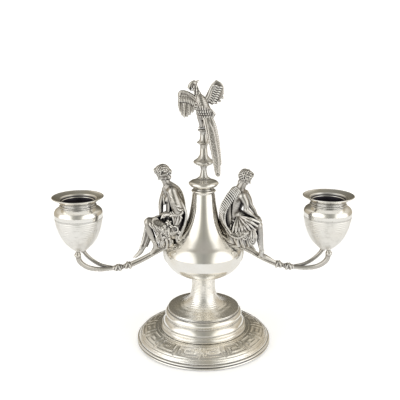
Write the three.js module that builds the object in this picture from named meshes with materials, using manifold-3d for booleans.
// Two-light figural silver candelabrum: a pear-shaped body on a trumpet stem and a domed foot, two cast
// branches that end in forked arms under urn sockets, a seated draped figure on each branch, lift-out
// candle nozzles, and a turned finial with a bird on top. Millimetres, +Z up, the origin on the ground
// under the stem's axis. "Left" is the -X side and "front" is the -Y side.
import * as THREE from 'three';
import { mergeVertices } from 'three/addons/utils/BufferGeometryUtils.js';
import Module from 'manifold-3d';

const wasm = await Module();
wasm.setup();

// ---------------------------------------------------------------- driving dimensions, mm
const jointGap = 0.3; // left between two pieces that touch
const wall = 1.6; // sheet of the foot, the stem and the body

const footRadius = 52;
const rimHeight = 4.2;
const rimWidth = 3.6; // of the flat ring the foot stands on
const domeRise = 7; // from the rim wire to the dome's flat top
const stepRadius = 33.6; // foot of the double step moulding
const stepHeight = 15.3;
const trumpetRadius = 27.5;
const trumpetHeight = 26.6;
const stemRadius = 8.8;
const bellyRadius = 29.4;
const bowlHeight = 17.2; // from the stem to the seam round the belly
const upperHeight = 49.1; // from the seam to the neck
const neckRadius = 8.2;
const neckRingRadius = 6.9;
const neckRingHeight = 0.8;
const collarRadius = 11.1;
const collarHeight = 7;
const spindleHeight = 34.8;
const lowerKnopRadius = 7.5;
const upperKnopRadius = 5;
const perchRadius = 4.5;
const perchHeight = 1.4;

const rodRadius = 2.5; // the tie rod that clamps foot, stem and body
const rodClearance = 0.9; // round the rod in every plate it passes
const threadClearance = 0.35; // round the rod in its nut and in the collar's blind hole
const nutAcross = 10;
const nutHeight = 3.2;
const washerRadius = 10;
const washerHeight = 1.4;

const armReach = 93.4; // from the stem's axis to each socket's axis
const armRoot = 76; // height at which a branch leaves the belly
const knotStart = 54; // where the branch meets its knot, from the axis
const knotEnd = 69;
const knotDrop = 60.4; // height of the fork's root
const beamRadius = 2.1;
const knotRadius = 3.2;
const knotSeat = 0.8; // between the knot's ends and the bars that meet it at a slight angle
const prongRadius = 2.4;
const prongSpread = 5.4; // each prong's end to the front or back of the socket's axis
const urnBase = 75; // height of the socket's underside
const urnHeight = 33.8;
const urnRadius = 18;
const urnFootRadius = 8.6;
const urnWall = 1.4;
const mouthRim = 0.7; // of the urn's mouth, round the hole for the sleeve

const boreRadius = 11.2; // takes a 22 mm candle
const boreDepth = 21;
const sleeveWall = 1.1;
const sleeveClearance = 0.4; // round the sleeve in the urn's mouth
const sleeveFloor = 1.8;
const neckRise = 1.8; // of the nozzle's neck above the urn's mouth
const panRadius = 19.2;
const panHeight = 4.4;
const flangeOverlap = 0.5; // the nozzle's flange over the urn's mouth

// how finely round work is faceted, in sides; each is a multiple of four
const footSides = 32;
const bodySides = 24;
const socketSides = 24;
const smallSides = 16;
const limbSides = 7;
const eggSides = 9;

// ---------------------------------------------------------------- heights that follow
const domeBottom = rimHeight + jointGap;
const domeTop = domeBottom + domeRise;
const stepBottom = domeTop + jointGap;
const stepTop = stepBottom + stepHeight;
const trumpetBottom = stepTop + jointGap;
const trumpetTop = trumpetBottom + trumpetHeight;
const bowlBottom = trumpetTop + jointGap;
const seam = bowlBottom + bowlHeight;
const upperBottom = seam + jointGap;
const upperTop = upperBottom + upperHeight;
const neckRingBottom = upperTop + jointGap;
const collarBottom = neckRingBottom + neckRingHeight + jointGap;
const collarTop = collarBottom + collarHeight;
const spindleBottom = collarTop + jointGap;
const spindleTop = spindleBottom + spindleHeight;
const perchBottom = spindleTop + jointGap;
const perchTop = perchBottom + perchHeight;
const plateHole = rodRadius + rodClearance;
const urnTop = urnBase + urnHeight;
const sleeveRadius = boreRadius + sleeveWall;
const urnHole = sleeveRadius + sleeveClearance;
const mouthRadius = urnHole + mouthRim;
const flangeBottom = urnTop + jointGap;
const neckTop = flangeBottom + 1 + neckRise;
const boreTop = neckTop + 0.3;
const seat = boreTop - boreDepth; // where the candle stands
const sleeveBottom = seat - sleeveFloor;

// ---------------------------------------------------------------- materials
const silver = (name, color, roughness) => {
  const material = new THREE.MeshStandardMaterial({ color, roughness, metalness: 1 });
  material.name = name;
  return material;
};
const polished = () => silver('polished_silver', 0xd9d3c3, 0.18);
const matted = () => silver('matted_silver', 0xc9c5b8, 0.45);
const cast = () => silver('cast_silver', 0xb3ab98, 0.35);
const gilt = () => silver('nozzle_silver', 0xd5cfbd, 0.2);
const steel = () => silver('fixing_steel', 0x8b8d90, 0.5);

// ---------------------------------------------------------------- closed bodies
// A geometry with its seams welded, flat triangles dropped and its faces turned outwards.
function closed(geometry) {
  const bare = geometry.clone();
  bare.deleteAttribute('normal');
  bare.deleteAttribute('uv');
  const welded = mergeVertices(bare, 1e-4);
  const at = welded.attributes.position;
  const old = welded.index.array;
  const kept = [];
  let volume = 0;
  const a = new THREE.Vector3();
  const b = new THREE.Vector3();
  const c = new THREE.Vector3();
  for (let i = 0; i < old.length; i += 3) {
    const [p, q, r] = [old[i], old[i + 1], old[i + 2]];
    if (p === q || q === r || r === p) continue;
    kept.push(p, q, r);
    a.fromBufferAttribute(at, p);
    b.fromBufferAttribute(at, q);
    c.fromBufferAttribute(at, r);
    volume += a.dot(b.cross(c));
  }
  if (volume < 0) {
    for (let i = 0; i < kept.length; i += 3) [kept[i + 1], kept[i + 2]] = [kept[i + 2], kept[i + 1]];
  }
  welded.setIndex(kept);
  return welded;
}

// The same body for boolean work, and back again.
function body(geometry) {
  const g = closed(geometry);
  const vertProperties = new Float32Array(g.attributes.position.array);
  const triVerts = new Uint32Array(g.index.array);
  return new wasm.Manifold(new wasm.Mesh({ numProp: 3, vertProperties, triVerts }));
}
function fromBody(solid) {
  const mesh = solid.getMesh();
  const g = new THREE.BufferGeometry();
  const places = new Float32Array(mesh.numVert * 3);
  for (let i = 0; i < mesh.numVert; i += 1) {
    for (let k = 0; k < 3; k += 1) places[3 * i + k] = mesh.vertProperties[mesh.numProp * i + k];
  }
  g.setAttribute('position', new THREE.BufferAttribute(places, 3));
  g.setIndex(Array.from(mesh.triVerts));
  return g;
}
const union = (list) => list.map(body).reduce((sum, one) => sum.add(one));

// ---------------------------------------------------------------- turned work
// Turns a closed outline of [radius, height] points about the Z axis, or about a socket's axis at x.
function turned(outline, segments, x = 0) {
  const loop = [...outline, outline[0]].map(([r, z]) => new THREE.Vector2(r, z));
  const g = new THREE.LatheGeometry(loop, segments);
  g.rotateX(Math.PI / 2);
  g.translate(x, 0, 0);
  return g;
}

// An open outline from its two ends: each [f, g] goes f of the way in radius and g of the way in height.
function between(r0, r1, z0, z1, steps) {
  return steps.map(([f, g]) => [r0 + (r1 - r0) * f, z0 + (z1 - z0) * g]);
}

// The outline moved sideways by d, to the left of its direction.
function offset(outline, d) {
  return outline.map(([r, z], i) => {
    const [pr, pz] = outline[Math.max(0, i - 1)];
    const [nr, nz] = outline[Math.min(outline.length - 1, i + 1)];
    const length = Math.hypot(nr - pr, nz - pz);
    return [r - (d * (nz - pz)) / length, z + (d * (nr - pr)) / length];
  });
}

// A rounded hump in an outline, from the first radius out to the peak and back.
function hump(r0, r1, z0, z1, peak, points) {
  const list = [];
  for (let i = 1; i < points; i += 1) {
    const t = i / points;
    list.push([r0 + (r1 - r0) * t + (peak - Math.max(r0, r1)) * Math.sin(Math.PI * t), z0 + (z1 - z0) * t]);
  }
  return list;
}

// ---------------------------------------------------------------- foot and stem
function footRimWire() {
  const inner = footRadius - rimWidth;
  return turned(
    [
      [inner, 0],
      [footRadius - 1, 0],
      [footRadius, rimHeight * 0.3],
      [footRadius - 0.3, rimHeight * 0.5],
      [footRadius - 1, rimHeight * 0.6],
      [footRadius - 0.6, rimHeight * 0.8],
      [footRadius - 1.4, rimHeight],
      [inner, rimHeight],
    ],
    footSides,
  );
}

// The dome swells out from under the step moulding; a flat web inside carries the clamp washer.
function footDome() {
  const swell = [];
  const edge = footRadius - 1.6;
  for (let i = 0; i <= 6; i += 1) {
    const t = (i / 6) * (Math.PI / 2);
    swell.push([stepRadius + (edge - stepRadius) * Math.sin(t) ** 1.25, domeBottom + domeRise * Math.cos(t) ** 1.25]);
  }
  const outer = [[plateHole, domeTop], ...swell];
  const under = [
    [edge - wall, domeBottom],
    [edge - 2.4 * wall, domeBottom + domeRise * 0.4],
    [(stepRadius + edge) / 2 - wall, domeTop - domeRise * 0.26 - wall],
    [stepRadius - wall, domeTop - wall],
    [plateHole, domeTop - wall],
  ];
  return turned([...outer, ...under], footSides);
}

// Two rounded steps under the trumpet, open inside.
function stepMoulding() {
  const upper = trumpetRadius + 0.1;
  const h = stepHeight;
  const z = stepBottom;
  const outer = [
    [stepRadius - 0.2, z],
    [stepRadius - 2.3, z + h * 0.11],
    [stepRadius - 2.2, z + h * 0.17],
    [stepRadius - 1.5, z + h * 0.23],
    [stepRadius - 2.2, z + h * 0.3],
    [stepRadius - 3.2, z + h * 0.4],
    [stepRadius - 4.9, z + h * 0.54],
    [upper + 1.2, z + h * 0.57],
    ...hump(upper + 1.2, upper, z + h * 0.57, z + h, upper + 2, 4),
    [upper, z + h],
  ];
  const inner = [
    [upper - 2.2, z + h],
    [upper - 2.2, z + h * 0.55],
    [stepRadius - 5.8, z],
  ];
  return turned([...outer, ...inner], footSides);
}

// The stem flares like a trumpet's bell, and a plate closes its narrow end.
function stemTrumpet() {
  const flare = between(trumpetRadius, stemRadius, trumpetBottom, trumpetTop, [
    [0, 0],
    [0.03, 0.025],
    [0.2, 0.045],
    [0.42, 0.085],
    [0.62, 0.14],
    [0.78, 0.23],
    [0.9, 0.35],
    [0.97, 0.5],
    [1, 0.68],
    [1, 1],
  ]);
  const inside = offset(flare.slice(1, -1), wall);
  inside[0][1] = trumpetBottom;
  return turned(
    [
      ...flare,
      [plateHole, trumpetTop],
      [plateHole, trumpetTop - wall],
      [stemRadius - wall, trumpetTop - wall],
      ...inside.reverse(),
    ],
    bodySides,
  );
}

// ---------------------------------------------------------------- body
const bowlOutline = [
  [plateHole, bowlBottom],
  ...between(stemRadius, bellyRadius, bowlBottom, seam, [
    [0, 0],
    [0.39, 0.07],
    [0.68, 0.28],
    [0.9, 0.55],
    [0.98, 0.78],
    [1, 1],
  ]),
];
const upperOutline = between(bellyRadius, neckRadius, upperBottom, upperTop, [
  [0, 0],
  [0.01, 0.055],
  [0.06, 0.11],
  [0.16, 0.168],
  [0.3, 0.22],
  [0.53, 0.32],
  [0.68, 0.41],
  [0.8, 0.51],
  [0.88, 0.62],
  [0.95, 0.8],
  [1, 1],
]);
// Both halves end level at the seam, inside as well as outside.
function bodyBowl() {
  const inside = offset(bowlOutline, wall);
  inside.at(-1)[1] = seam;
  return turned([...bowlOutline, ...inside.reverse()], bodySides);
}
function bodyUpper() {
  const inside = offset(upperOutline, wall).slice(0, -1);
  inside[0][1] = upperBottom;
  return turned([...upperOutline, [plateHole, upperTop], [plateHole, upperTop - wall], ...inside.reverse()], bodySides);
}

// The whole body grown by a clearance, which shapes what leans on it.
function bodySpace(clearance) {
  const grown = offset([...bowlOutline.slice(1), ...upperOutline], -clearance);
  return body(turned([[0, bowlBottom - 1], ...grown, [0, upperTop + 1]], bodySides));
}

// ---------------------------------------------------------------- finial
const neckRing = () =>
  turned(
    [
      [plateHole, neckRingBottom],
      [neckRingRadius, neckRingBottom],
      [neckRingRadius, neckRingBottom + neckRingHeight],
      [plateHole, neckRingBottom + neckRingHeight],
    ],
    smallSides,
  );

// A bun that screws down on the tie rod, so its hole is blind.
const rodTop = collarBottom + collarHeight * 0.62;
const collarDisc = () =>
  turned(
    [
      [rodRadius + threadClearance, collarBottom],
      [neckRingRadius, collarBottom],
      [collarRadius * 0.91, collarBottom + collarHeight * 0.28],
      [collarRadius, collarBottom + collarHeight * 0.48],
      [collarRadius * 0.93, collarBottom + collarHeight * 0.68],
      [collarRadius * 0.62, collarBottom + collarHeight * 0.92],
      [collarRadius * 0.5, collarTop],
      [0, collarTop],
      [0, rodTop + jointGap],
      [rodRadius + threadClearance, rodTop + jointGap],
    ],
    bodySides,
  );

function finialSpindle() {
  const at = (share) => spindleBottom + spindleHeight * share;
  const waist = upperKnopRadius * 0.42;
  return turned(
    [
      [0, at(0)],
      [4.6, at(0)],
      [2.7, at(0.06)],
      [waist, at(0.16)],
      [waist + 0.7, at(0.265)],
      [lowerKnopRadius * 0.8, at(0.305)],
      [lowerKnopRadius, at(0.355)],
      [lowerKnopRadius * 0.62, at(0.435)],
      [waist + 0.3, at(0.54)],
      [waist, at(0.61)],
      [waist + 0.9, at(0.7)],
      [upperKnopRadius, at(0.765)],
      [upperKnopRadius * 0.6, at(0.82)],
      [waist, at(0.9)],
      [waist + 0.5, at(1)],
      [0, at(1)],
    ],
    smallSides,
  );
}

const perchDisc = () =>
  turned(
    [
      [0, perchBottom],
      [perchRadius - 0.5, perchBottom],
      [perchRadius, perchBottom + perchHeight * 0.5],
      [perchRadius - 0.5, perchTop],
      [0, perchTop],
    ],
    smallSides,
  );

// ---------------------------------------------------------------- clamp under the foot
const washerTop = domeTop - wall - jointGap;
const nutTop = washerTop - washerHeight - jointGap;
const rodBottom = nutTop - nutHeight - 1;
const clampWasher = () =>
  turned(
    [
      [plateHole, washerTop - washerHeight],
      [washerRadius, washerTop - washerHeight],
      [washerRadius, washerTop],
      [plateHole, washerTop],
    ],
    smallSides,
  );
function clampNut() {
  const flats = Math.cos(Math.PI / 6); // a hexagon's half-width for a corner radius of 1
  const corner = nutAcross / 2 / flats;
  const hole = (rodRadius + threadClearance) / flats;
  return turned(
    [
      [hole, nutTop - nutHeight],
      [corner, nutTop - nutHeight],
      [corner, nutTop],
      [hole, nutTop],
    ],
    6,
  );
}
const tieRod = () =>
  turned(
    [
      [0, rodBottom],
      [rodRadius, rodBottom],
      [rodRadius, rodTop],
      [0, rodTop],
    ],
    smallSides,
  );

// ---------------------------------------------------------------- free forms
const point = (x, y, z) => new THREE.Vector3(x, y, z);

// A round bar along smooth points.
function bar(points, radius, sides, steps) {
  const section = new THREE.Shape();
  for (let i = 0; i < sides; i += 1) {
    const t = (2 * Math.PI * i) / sides;
    section[i ? 'lineTo' : 'moveTo'](radius * Math.cos(t), radius * Math.sin(t));
  }
  section.closePath();
  const path = new THREE.CatmullRomCurve3(points);
  return new THREE.ExtrudeGeometry(section, { steps, bevelEnabled: false, extrudePath: path });
}

// An egg at a place, with half-axes, leaned about Y by degrees.
function egg(place, halves, lean = 0) {
  const g = new THREE.SphereGeometry(1, eggSides, 6);
  g.scale(...halves);
  g.rotateY(THREE.MathUtils.degToRad(lean));
  g.translate(place.x, place.y, place.z);
  return g;
}

// A limb from a to b that tapers from one radius to the other, with round ends.
function limb(a, b, ra, rb) {
  const run = a.distanceTo(b);
  const profile = [
    [0, -ra * 0.85],
    [ra * 0.85, -ra * 0.4],
    [ra, ra * 0.2],
    [rb, run - rb * 0.2],
    [rb * 0.85, run + rb * 0.4],
    [0, run + rb * 0.85],
  ];
  const g = new THREE.LatheGeometry(
    profile.map(([r, z]) => new THREE.Vector2(r, z)),
    limbSides,
  );
  const turn = new THREE.Quaternion().setFromUnitVectors(point(0, 1, 0), b.clone().sub(a).normalize());
  g.applyQuaternion(turn);
  g.translate(a.x, a.y, a.z);
  return [g];
}

// Several limbs joined end to end.
function chain(points, radii) {
  return points.slice(1).flatMap((p, i) => limb(points[i], p, radii[i], radii[i + 1]));
}

// A flat leaf, feather or fold: an outline in X and Z, centred on y.
function slab(outline, y, thickness) {
  const shape = new THREE.Shape(outline.map(([x, z]) => new THREE.Vector2(x, z)));
  const g = new THREE.ExtrudeGeometry(shape, { depth: thickness, bevelEnabled: false });
  g.rotateX(Math.PI / 2);
  g.translate(0, y + thickness / 2, 0);
  return g;
}

function mirrored(geometry) {
  const g = geometry.clone();
  g.scale(-1, 1, 1);
  return closed(g);
}

// ---------------------------------------------------------------- branches, on the +X side
const beamEnd = point(knotStart, 0, knotDrop + (armRoot - knotDrop) * 0.17);
const beamPath = (grow) =>
  bar(
    [
      point(bellyRadius - 5, 0, armRoot + 2.6),
      point(bellyRadius + 2, 0, armRoot - 1),
      point((bellyRadius + knotStart) / 2, 0, (armRoot + beamEnd.z) / 2 - 0.4),
      beamEnd,
    ],
    beamRadius + grow,
    8,
    6,
  );
const beamSpace = body(beamPath(jointGap));
const branchBeam = () => fromBody(body(beamPath(0)).subtract(bodySpace(jointGap)));

// Two cast knuckles in line, a stand-in for the twisted knot that binds the beam to the fork.
function branchKnot() {
  const a = beamEnd;
  const b = point(knotEnd, 0, knotDrop);
  const run = a.distanceTo(b);
  const profile = [
    [0, knotSeat],
    [knotRadius * 0.72, knotSeat],
    [knotRadius, run * 0.24],
    [knotRadius * 0.62, run * 0.48],
    [knotRadius, run * 0.72],
    [knotRadius * 0.7, run - knotSeat],
    [0, run - knotSeat],
  ];
  const g = new THREE.LatheGeometry(
    profile.map(([r, z]) => new THREE.Vector2(r, z)),
    14,
  );
  const turn = new THREE.Quaternion().setFromUnitVectors(point(0, 1, 0), b.clone().sub(a).normalize());
  g.applyQuaternion(turn);
  g.translate(a.x, a.y, a.z);
  return g;
}

// The fork: two prongs that part, dip and rise to the front and the back of the socket's underside.
function branchFork() {
  const prong = (side) => {
    const end = armReach;
    const run = end - knotEnd;
    const rise = urnBase - jointGap - knotDrop;
    const s = side * prongSpread;
    return bar(
      [
        point(knotEnd, side * 0.6, knotDrop),
        point(knotEnd + run * 0.38, s * 0.5, knotDrop + rise * 0.03),
        point(knotEnd + run * 0.7, s * 0.82, knotDrop + rise * 0.24),
        point(knotEnd + run * 0.93, s, knotDrop + rise * 0.6),
        point(end, s, urnBase - jointGap),
      ],
      prongRadius,
      8,
      8,
    );
  };
  // The prongs' tops are cut level, just under the socket.
  const above = new THREE.BoxGeometry(60, 60, 20);
  above.translate(armReach, 0, urnBase - jointGap + 10);
  return fromBody(union([prong(-1), prong(1)]).subtract(body(above)));
}

// A pointed leaf that lies on the belly under the branch's root.
function rootLeaf() {
  const outline = [
    [-4.2, armRoot + 1],
    [4.2, armRoot + 1],
    [4, armRoot - 5],
    [2.4, armRoot - 9.5],
    [0, armRoot - 13],
    [-2.4, armRoot - 9.5],
    [-4, armRoot - 5],
  ];
  const shape = slab(outline, 0, 2 * bellyRadius);
  shape.rotateZ(Math.PI / 2);
  shape.translate(bellyRadius, 0, 0);
  return fromBody(body(shape).intersect(bodySpace(jointGap + 1.2)).subtract(bodySpace(jointGap)).subtract(beamSpace));
}

// ---------------------------------------------------------------- sockets and nozzles
// The urn is never narrower than the sleeve that hangs in it needs.
function urnSocket() {
  const sleeveSpace = sleeveBottom - sleeveClearance;
  const fuller = (outline, least) => outline.map(([r, z]) => [z >= sleeveSpace ? Math.max(r, least) : r, z]);
  const radiusAt = (outline, height) => {
    const i = outline.findIndex(([, z]) => z > height);
    const [[r0, z0], [r1, z1]] = [outline[i - 1], outline[i]];
    return [i, [r0 + ((r1 - r0) * (height - z0)) / (z1 - z0), height]];
  };
  const withSpace = (outline, least) => {
    const [i, added] = radiusAt(outline, sleeveSpace);
    return fuller([...outline.slice(0, i), added, ...outline.slice(i)], least);
  };
  const outer = [
    [0, urnBase],
    ...between(urnFootRadius, urnRadius, urnBase, urnBase + urnHeight * 0.81, [
      [-0.25, 0],
      [0, 0.08],
      [0.4, 0.26],
      [0.73, 0.5],
      [0.93, 0.74],
      [1, 1],
    ]),
    [urnRadius * 0.95, urnBase + urnHeight * 0.9],
    [urnRadius * 0.83, urnBase + urnHeight * 0.965],
  ];
  const inner = [
    [0, urnBase + urnHeight * 0.1],
    [urnFootRadius - urnWall, urnBase + urnHeight * 0.12],
    [urnRadius * 0.85 - urnWall, urnBase + urnHeight * 0.4],
    [urnRadius - urnWall, urnBase + urnHeight * 0.78],
    [urnRadius * 0.95 - urnWall, urnBase + urnHeight * 0.88],
    [urnHole, urnTop - urnWall],
  ];
  return turned(
    [
      ...withSpace(outer, urnHole + urnWall),
      [mouthRadius, urnTop],
      [urnHole, urnTop],
      ...withSpace(inner, urnHole).reverse(),
    ],
    socketSides,
    armReach,
  );
}

function candleNozzle() {
  const panTop = neckTop + panHeight;
  const outer = [
    [0, sleeveBottom],
    [sleeveRadius, sleeveBottom],
    [sleeveRadius, flangeBottom],
    [mouthRadius + flangeOverlap, flangeBottom],
    [mouthRadius + flangeOverlap, flangeBottom + 0.8],
    [sleeveRadius + 0.1, flangeBottom + 1],
    [sleeveRadius + 0.1, neckTop],
    [panRadius - 3.6, neckTop + panHeight * 0.4],
    [panRadius, panTop - 0.7],
    [panRadius, panTop],
  ];
  const inner = [
    [panRadius - 0.8, panTop],
    [panRadius - 4, neckTop + panHeight * 0.62],
    [boreRadius + 0.6, boreTop + 1],
    [boreRadius, boreTop],
    [boreRadius, seat + 1.2],
    [boreRadius - 1.2, seat],
    [0, seat],
  ];
  return turned([...outer, ...inner], socketSides, armReach);
}

// ---------------------------------------------------------------- the seated figures
// Each figure sits on its branch with its back against the body. Its joints are set out from the root
// of the branch, so it moves with the body and the arm. side is -1 on the left and 1 on the right.
function joint(side) {
  return (out, y, up) => point(side * (bellyRadius + out), y, armRoot + up);
}

// What a figure must keep clear of: the body, its beam, and the leaf under the root.
function seated(parts, side) {
  let solid = union(parts).subtract(bodySpace(jointGap));
  const beam = side < 0 ? body(mirrored(beamPath(jointGap))) : beamSpace;
  solid = solid.subtract(beam);
  return solid;
}

// A plain head that looks out along its branch and bows by degrees: an egg with a nose and a chin.
function head(place, side, bow) {
  const turn = THREE.MathUtils.degToRad(bow) * side;
  const part = (x, z, halves) => {
    const g = egg(point(side * x, 0, z), halves);
    g.rotateY(turn);
    g.translate(place.x, place.y, place.z);
    return g;
  };
  return [part(0, 0, [5.4, 5.2, 6.8]), part(5.4, -0.6, [1.1, 1, 1.9]), part(3.4, -5, [1.9, 1.8, 1.7])];
}

function leftFigureBody() {
  const at = joint(-1);
  const parts = [
    ...head(at(1.2, -0.6, 57.8), -1, 24),
    egg(at(-1.2, 1.2, 63.6), [2.6, 2.6, 2.2]),
    ...limb(at(-1.6, 0, 51), at(-4, 0, 46), 2.6, 3.6),
    egg(at(-8, 0, 37.5), [6, 7.4, 10.5], -24),
    egg(at(-11.4, 0, 27), [6.2, 7, 8.5], -8),
    egg(at(-9.5, 0, 20), [7.6, 7.8, 6]),
    ...chain([at(-8, -4, 19), at(11.4, -5, 20), at(7.4, -5, 6), at(9, -4.4, 0)], [5.4, 3.8, 2.2, 2]),
    ...chain([at(-8, 4, 18), at(11, 5, 17.4), at(16.4, 3.4, 0), at(21.6, 2, -4.2)], [5.2, 3.8, 2, 1.6]),
    ...chain([at(-7, -6.6, 43), at(-11, -9.2, 31), at(-4.4, -7.4, 28)], [3.4, 3, 2]),
    ...chain([at(-4.4, 6, 43), at(3.6, 5.2, 32), at(3.2, 1.4, 24), at(1, -2.6, 18.6)], [3, 2.4, 1.9, 1.7]),
    egg(at(-3, 0, 9), [5.4, 6.4, 7.6]),
  ];
  return parts;
}

function leftFlowersParts() {
  const at = joint(-1);
  return [
    egg(at(0.4, -11.2, 16.6), [3, 1.6, 3]),
    egg(at(-3.6, -10.8, 22.6), [2.6, 1.6, 2.6]),
    ...limb(at(-3, -9, 12), at(-8, -11, 17.6), 2, 4),
    ...chain(
      [at(-3.6, -10.8, 22.6), at(0.2, -11, 16.6), at(-2, -10.6, 11), at(-6, -11, 15)],
      [1.8, 1.9, 1.9, 1.9],
    ),
  ];
}

function rightFigureBody() {
  const at = joint(1);
  return [
    ...head(at(1.4, -0.6, 55.2), 1, 20),
    ...limb(at(-0.6, 0, 48.6), at(-2.6, 0, 44), 2.6, 3.4),
    egg(at(-5, 0, 36.5), [5.6, 7.2, 9.4], 22),
    egg(at(-7.4, 0, 26), [5.2, 6.4, 6.4]),
    ...chain([at(-6, -3.6, 19), at(11.2, -5, 17.4), at(12.8, -4.2, 0.6), at(20.6, -3.2, -7)], [5.2, 4, 1.9, 1.5]),
    ...chain([at(-6, 4, 17), at(9, 5, 14), at(4, 5, 3), at(9, 4, -4.4)], [5, 3.6, 2, 1.6]),
    ...chain([at(-3, -6.4, 41.6), at(4, -7.8, 32), at(8.4, -6, 25.4), at(12.4, -4.4, 21.8)], [3.2, 2.6, 2, 1.8]),
    ...chain([at(-1, 6, 40.6), at(6, 6.4, 31), at(12, 1, 23)], [3, 2.4, 1.8]),
    egg(at(0, 0, 8), [6, 6.2, 7.8]),
  ];
}

// The cloak's back lies on the body, a given depth out from its wall.
function rightCloakParts() {
  const at = joint(1);
  const onBody = (depth, y, up) => {
    const height = armRoot + up;
    const above = upperOutline.findIndex(([, z]) => z > height);
    const [[r0, z0], [r1, z1]] = [upperOutline[above - 1], upperOutline[above]];
    return point(r0 + ((r1 - r0) * (height - z0)) / (z1 - z0) + depth, y, height);
  };
  return [
    ...chain([at(-8.4, -2, 45), at(-13.4, -3, 37), onBody(1.5, -4.4, 29)], [3.4, 4.2, 4]),
    ...chain(
      [onBody(1.2, -5.4, 27), at(-13.6, -8, 18), at(-6, -9.4, 12.4), at(-1, -10.6, 13.6), at(3.4, -10.8, 15.6)],
      [3.6, 3, 2.4, 2, 2],
    ),
    ...chain([at(3.4, -10.8, 15.6), at(4.8, -10.2, 9)], [2.2, 2.4]),
  ];
}

// The figures, and what each wears or holds, cut clear of one another.
function grown(parts, by) {
  return union(
    parts.map((g) => {
      const box = new THREE.Box3().setFromBufferAttribute(g.attributes.position);
      const middle = box.getCenter(point(0, 0, 0));
      const size = box.getSize(point(0, 0, 0));
      const copy = g.clone();
      copy.translate(-middle.x, -middle.y, -middle.z);
      copy.scale(1 + (2 * by) / size.x, 1 + (2 * by) / size.y, 1 + (2 * by) / size.z);
      copy.translate(middle.x, middle.y, middle.z);
      return copy;
    }),
  );
}
const leftFigure = () => fromBody(seated(leftFigureBody(), -1));
const leftFlowers = () => fromBody(seated(leftFlowersParts(), -1).subtract(grown(leftFigureBody(), jointGap)));
const rightFigure = () => fromBody(seated(rightFigureBody(), 1));
const rightCloak = () => fromBody(seated(rightCloakParts(), 1).subtract(grown(rightFigureBody(), jointGap)));

// ---------------------------------------------------------------- the bird
const birdBodyParts = () => {
  const z = perchTop;
  return [
    egg(point(-0.6, -0.5, z + 15.5), [5.4, 4.6, 7.6], -14),
    ...chain([point(-2, 0, z + 20), point(-4.6, 1.2, z + 26), point(-7.6, 2.6, z + 31)], [4, 3, 2.8]),
    ...limb(point(-7, 2.8, z + 31.6), point(-3.8, 3, z + 35), 2, 0.6),
    ...limb(point(-8, 2.4, z + 30.4), point(-11.4, 2.2, z + 28.6), 2, 1),
    ...limb(point(-2, 0, z + 10), point(-1.6, 0, z + 1.2), 2.4, 1.2),
    ...limb(point(1, -1, z + 11), point(1.8, -2.2, z + 4), 3.2, 2.4),
  ];
};
const birdBody = () => {
  const z = perchTop;
  const below = new THREE.BoxGeometry(40, 40, 20);
  below.translate(0, 0, z + jointGap - 10);
  return fromBody(union(birdBodyParts()).subtract(body(below)));
};
function birdLeftWing() {
  const z = perchTop;
  const outline = [
    [-2, z + 18],
    [-6.4, z + 22.4],
    [-12.6, z + 27.4],
    [-16.8, z + 27.2],
    [-18, z + 24.4],
    [-16, z + 17],
    [-13.8, z + 9.8],
    [-10.6, z + 11.4],
    [-6, z + 13.6],
  ];
  return fromBody(body(slab(outline, 0.6, 1.8)).subtract(grown(birdBodyParts(), jointGap)));
}
function birdRightWing() {
  const z = perchTop;
  const outline = [
    [0, z + 19],
    [4, z + 27],
    [9, z + 35],
    [13.2, z + 30],
    [14.6, z + 22.6],
    [9, z + 18.4],
    [3, z + 15.4],
  ];
  return fromBody(body(slab(outline, 0.6, 1.8)).subtract(grown(birdBodyParts(), jointGap)));
}
function birdTail() {
  const z = perchTop;
  const plume = chain(
    [point(2.4, -5.4, z + 7), point(4.6, -9, z), point(7, -10.6, z - 14), point(9.4, -10.6, z - 32.4)],
    [2.2, 2.6, 2, 1.2],
  );
  return fromBody(union(plume).subtract(grown(birdBodyParts(), jointGap)));
}

// ---------------------------------------------------------------- assembly
const group = new THREE.Group();
group.name = 'silver_candlestick';
function place(name, geometry, material) {
  const mesh = new THREE.Mesh(closed(geometry), material);
  mesh.name = name;
  group.add(mesh);
}

place('foot_rim_wire', footRimWire(), polished());
place('foot_dome', footDome(), matted());
place('step_moulding', stepMoulding(), polished());
place('stem_trumpet', stemTrumpet(), matted());
place('body_bowl', bodyBowl(), polished());
place('body_upper', bodyUpper(), polished());
place('neck_ring', neckRing(), polished());
place('collar_disc', collarDisc(), polished());
place('finial_spindle', finialSpindle(), polished());
place('perch_disc', perchDisc(), polished());
place('tie_rod', tieRod(), steel());
place('clamp_washer', clampWasher(), steel());
place('clamp_nut', clampNut(), steel());

const sides = [
  ['left', mirrored],
  ['right', (g) => g],
];
for (const [side, across] of sides) {
  place(`${side}_branch_beam`, across(branchBeam()), cast());
  place(`${side}_branch_knot`, across(branchKnot()), cast());
  place(`${side}_branch_fork`, across(branchFork()), cast());
  place(`${side}_root_leaf`, across(rootLeaf()), cast());
  place(`${side}_urn_socket`, across(urnSocket()), matted());
  place(`${side}_candle_nozzle`, across(candleNozzle()), gilt());
}

place('left_figure', leftFigure(), cast());
place('left_figure_flowers', leftFlowers(), cast());
place('right_figure', rightFigure(), cast());
place('right_figure_cloak', rightCloak(), cast());
place('bird_body', birdBody(), cast());
place('bird_left_wing', birdLeftWing(), cast());
place('bird_right_wing', birdRightWing(), cast());
place('bird_tail', birdTail(), cast());

export default group;
